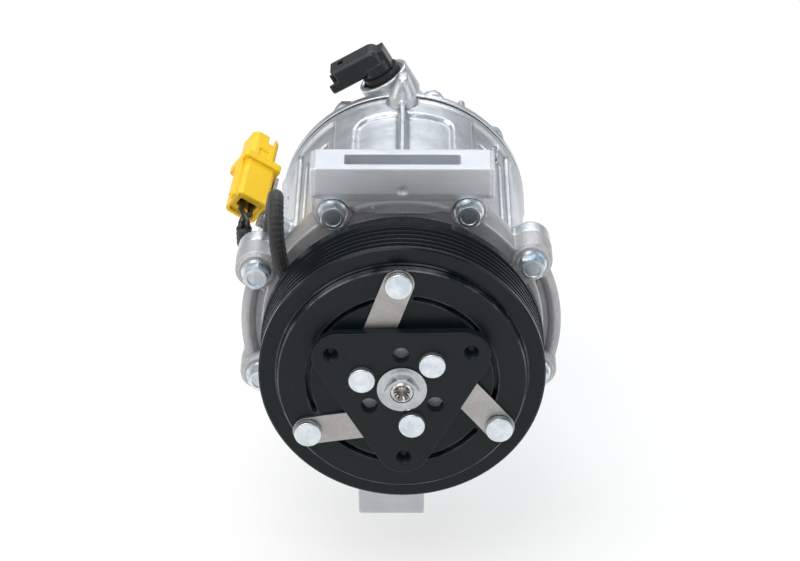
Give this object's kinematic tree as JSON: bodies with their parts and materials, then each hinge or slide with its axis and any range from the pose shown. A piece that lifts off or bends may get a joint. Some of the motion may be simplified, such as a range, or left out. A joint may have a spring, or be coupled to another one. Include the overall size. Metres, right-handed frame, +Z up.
{
  "type": "automotive ac compressor",
  "caption": "Belt-driven variable-displacement automotive air-conditioning compressor with magnetic clutch, ribbed pulley, cast housings, swash plate and pistons, and electric control valve.",
  "frame": {"origin": "on the shaft axis, in the middle of the six belt grooves", "axes": "+Y along the shaft from the clutch to the rear head, +Z up through the upper mounting block, +X to the right when looking at the clutch"},
  "size_m": [0.1508, 0.2218, 0.1786],
  "materials": {
    "cast_aluminium": "die-cast, fine grain, satin",
    "cast_aluminium_warm": "shot-blasted casting, matt",
    "black_coated_steel": "dark slate dip coat, semi-matt",
    "zinc_steel": "blue-white zinc plate",
    "spring_steel": "cold-rolled, satin",
    "bearing_steel": "ground",
    "machined_steel": "turned and ground",
    "bright_nut_steel": "bright plated",
    "swash_iron": "machined ductile iron",
    "piston_aluminium": "machined, skirt coated",
    "shoe_steel": "lapped",
    "coil_steel": "black zinc",
    "coil_resin": "potting resin",
    "seal_rubber": "matt",
    "valve_brass": "turned",
    "black_plastic": "glass-filled nylon",
    "yellow_plastic": "moulded, satin gloss",
    "black_sleeve": "braided sleeve",
    "wire_insulation": "satin",
    "bracket_steel": "zinc plate",
    "tinned_terminals": "tinned"
  },
  "bodies": {
    "housing": {"bearing_inner_ring": "bearing_steel", "bracket_screw": "zinc_steel", "case_seal_rings": "seal_rubber", "coil_connector": "yellow_plastic", "coil_lead_sleeve": "black_sleeve", "coil_shell": "coil_steel", "coil_winding": "coil_resin", "coil_wires": "wire_insulation", "connector_bracket": "bracket_steel", "control_connector": "black_plastic", "control_valve_body": "valve_brass", "control_valve_rings": "seal_rubber", "crankcase": "cast_aluminium", "discharge_reed": "spring_steel", "flange_bolts": "zinc_steel", "front_housing": "cast_aluminium_warm", "front_shaft_bearing": "bearing_steel", "head_bolts": "zinc_steel", "head_gasket": "seal_rubber", "nose_snap_rings": "spring_steel", "oil_plug": "zinc_steel", "plug_terminals": "tinned_terminals", "rear_head": "cast_aluminium", "rear_shaft_bearing": "bearing_steel", "relief_valve": "zinc_steel", "seal_snap_ring": "spring_steel", "shaft_seal": "seal_rubber", "suction_reed": "spring_steel", "thrust_bearing_front": "bearing_steel", "valve_pack_bolt": "machined_steel", "valve_plate": "machined_steel", "valve_snap_ring": "spring_steel"},
    "pulley": {"pulley": "black_coated_steel", "bearing_outer_ring": "bearing_steel"},
    "bearing_ball_set": {"bearing_balls": "bearing_steel"},
    "drive": {"drive_shaft": "machined_steel", "clutch_hub": "machined_steel", "hub_plate": "black_coated_steel", "hub_rivets": "zinc_steel", "leaf_springs": "spring_steel", "shaft_nut": "bright_nut_steel", "clutch_shim": "bearing_steel", "lug_rotor": "machined_steel"},
    "armature": {"armature_plate": "black_coated_steel", "armature_rivets": "zinc_steel"},
    "swash_tilt_sleeve": {"swash_sleeve": "machined_steel"},
    "swash": {"swash_plate": "swash_iron"},
    "valve_plunger": {"control_plunger": "machined_steel"},
    "piston_body_1": {"piston_1": "piston_aluminium"},
    "shoe_pair_1": {"shoes_1": "shoe_steel"},
    "piston_body_2": {"piston_2": "piston_aluminium"},
    "shoe_pair_2": {"shoes_2": "shoe_steel"},
    "piston_body_3": {"piston_3": "piston_aluminium"},
    "shoe_pair_3": {"shoes_3": "shoe_steel"},
    "piston_body_4": {"piston_4": "piston_aluminium"},
    "shoe_pair_4": {"shoes_4": "shoe_steel"},
    "piston_body_5": {"piston_5": "piston_aluminium"},
    "shoe_pair_5": {"shoes_5": "shoe_steel"},
    "piston_body_6": {"piston_6": "piston_aluminium"},
    "shoe_pair_6": {"shoes_6": "shoe_steel"}
  },
  "joints": [
    {"name": "pulley_spin", "type": "hinge", "parent": "housing", "child": "pulley", "pos_m": [0, 0, 0], "axis": [0, 1, 0], "continuous": true},
    {"name": "ball_set_orbit", "type": "hinge", "parent": "housing", "child": "bearing_ball_set", "pos_m": [0, 0, 0], "axis": [0, 1, 0], "continuous": true},
    {"name": "shaft_spin", "type": "hinge", "parent": "housing", "child": "drive", "pos_m": [0, 0, 0], "axis": [0, 1, 0], "continuous": true},
    {"name": "clutch_engage", "type": "slide", "parent": "drive", "child": "armature", "axis": [0, 1, 0], "range_m": [0, 0.00045], "stiffness_N_per_m": 20000},
    {"name": "swash_tilt", "type": "hinge", "parent": "housing", "child": "swash_tilt_sleeve", "pos_m": [0, 0.076, 0], "axis": [1, 0, 0], "range_deg": [-18, 18]},
    {"name": "swash_spin", "type": "hinge", "parent": "swash_tilt_sleeve", "child": "swash", "pos_m": [0, 0.076, 0], "axis": [0, 1, 0], "continuous": true},
    {"name": "piston_1_slide", "type": "slide", "parent": "housing", "child": "piston_body_1", "axis": [0, 1, 0], "range_m": [-0.00577, 0.00577]},
    {"name": "shoe_1_tilt", "type": "hinge", "parent": "piston_body_1", "child": "shoe_pair_1", "pos_m": [0.03118, 0.076, 0.018], "axis": [1, 0, 0], "range_deg": [-18.2, 18.2]},
    {"name": "piston_2_slide", "type": "slide", "parent": "housing", "child": "piston_body_2", "axis": [0, 1, 0], "range_m": [-0.01152, 0.01152]},
    {"name": "shoe_2_tilt", "type": "hinge", "parent": "piston_body_2", "child": "shoe_pair_2", "pos_m": [0, 0.076, 0.036], "axis": [1, 0, 0], "range_deg": [-18.2, 18.2]},
    {"name": "piston_3_slide", "type": "slide", "parent": "housing", "child": "piston_body_3", "axis": [0, 1, 0], "range_m": [-0.00577, 0.00577]},
    {"name": "shoe_3_tilt", "type": "hinge", "parent": "piston_body_3", "child": "shoe_pair_3", "pos_m": [-0.03118, 0.076, 0.018], "axis": [1, 0, 0], "range_deg": [-18.2, 18.2]},
    {"name": "piston_4_slide", "type": "slide", "parent": "housing", "child": "piston_body_4", "axis": [0, 1, 0], "range_m": [-0.00577, 0.00577]},
    {"name": "shoe_4_tilt", "type": "hinge", "parent": "piston_body_4", "child": "shoe_pair_4", "pos_m": [-0.03118, 0.076, -0.018], "axis": [1, 0, 0], "range_deg": [-18.2, 18.2]},
    {"name": "piston_5_slide", "type": "slide", "parent": "housing", "child": "piston_body_5", "axis": [0, 1, 0], "range_m": [-0.01152, 0.01152]},
    {"name": "shoe_5_tilt", "type": "hinge", "parent": "piston_body_5", "child": "shoe_pair_5", "pos_m": [0, 0.076, -0.036], "axis": [1, 0, 0], "range_deg": [-18.2, 18.2]},
    {"name": "piston_6_slide", "type": "slide", "parent": "housing", "child": "piston_body_6", "axis": [0, 1, 0], "range_m": [-0.00577, 0.00577]},
    {"name": "shoe_6_tilt", "type": "hinge", "parent": "piston_body_6", "child": "shoe_pair_6", "pos_m": [0.03118, 0.076, -0.018], "axis": [1, 0, 0], "range_deg": [-18.2, 18.2]},
    {"name": "valve_plunger_slide", "type": "slide", "parent": "housing", "child": "valve_plunger", "axis": [-0.5, 0, 0.866], "range_m": [0, 0.004], "stiffness_N_per_m": 300}
  ],
  "couplings": [
    {"joint": "ball_set_orbit", "follows": "pulley_spin", "ratio": 0.552},
    {"joint": "swash_spin", "follows": "shaft_spin", "ratio": 1},
    {"joint": "piston_1_slide", "follows": "swash_tilt", "m_per_rad": -0.018306},
    {"joint": "shoe_1_tilt", "follows": "swash_tilt", "ratio": 1},
    {"joint": "piston_2_slide", "follows": "swash_tilt", "m_per_rad": -0.036612},
    {"joint": "shoe_2_tilt", "follows": "swash_tilt", "ratio": 1},
    {"joint": "piston_3_slide", "follows": "swash_tilt", "m_per_rad": -0.018306},
    {"joint": "shoe_3_tilt", "follows": "swash_tilt", "ratio": 1},
    {"joint": "piston_4_slide", "follows": "swash_tilt", "m_per_rad": 0.018306},
    {"joint": "shoe_4_tilt", "follows": "swash_tilt", "ratio": 1},
    {"joint": "piston_5_slide", "follows": "swash_tilt", "m_per_rad": 0.036612},
    {"joint": "shoe_5_tilt", "follows": "swash_tilt", "ratio": 1},
    {"joint": "piston_6_slide", "follows": "swash_tilt", "m_per_rad": 0.018306},
    {"joint": "shoe_6_tilt", "follows": "swash_tilt", "ratio": 1}
  ]
}
